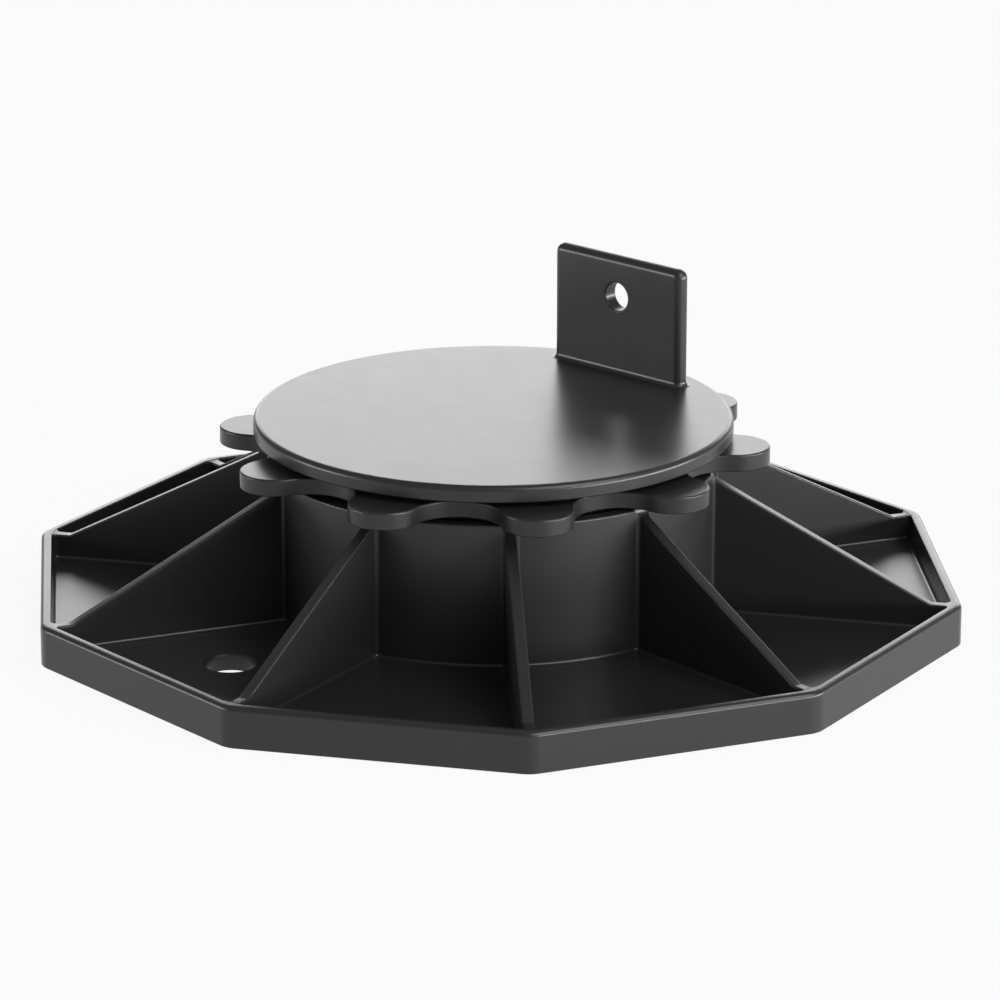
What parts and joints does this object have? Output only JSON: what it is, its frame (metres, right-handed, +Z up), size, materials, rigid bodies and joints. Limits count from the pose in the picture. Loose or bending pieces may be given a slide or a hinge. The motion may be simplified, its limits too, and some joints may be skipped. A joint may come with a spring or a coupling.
{
  "type": "decking pedestal",
  "caption": "Adjustable support foot for terrace joists: ribbed ten-sided base, lobed screw ring for the height, and a round head plate with an upright screw tab.",
  "frame": {"origin": "middle of the base's underside, on the screw axis, at ground level", "axes": "+Z up along the screw axis, -Y through one corner of the ten-sided base"},
  "size_m": [0.1902, 0.1994, 0.0683],
  "materials": {
    "black_plastic": "satin black moulded polypropylene with a fine grain"
  },
  "bodies": {
    "foot": {"base": "black_plastic"},
    "head": {"head_plate": "black_plastic"},
    "ring": {"adjusting_ring": "black_plastic"}
  },
  "joints": [
    {"name": "height_adjust", "type": "slide", "parent": "foot", "child": "head", "axis": [0, 0, 1], "range_m": [-0.0006, 0.0174]},
    {"name": "ring_turn", "type": "hinge", "parent": "head", "child": "ring", "pos_m": [0, 0, 0.036], "axis": [0, 0, 1], "range_deg": [-54, 1566]}
  ],
  "couplings": [
    {"joint": "height_adjust", "follows": "ring_turn", "m_per_rad": 0.00063662}
  ]
}
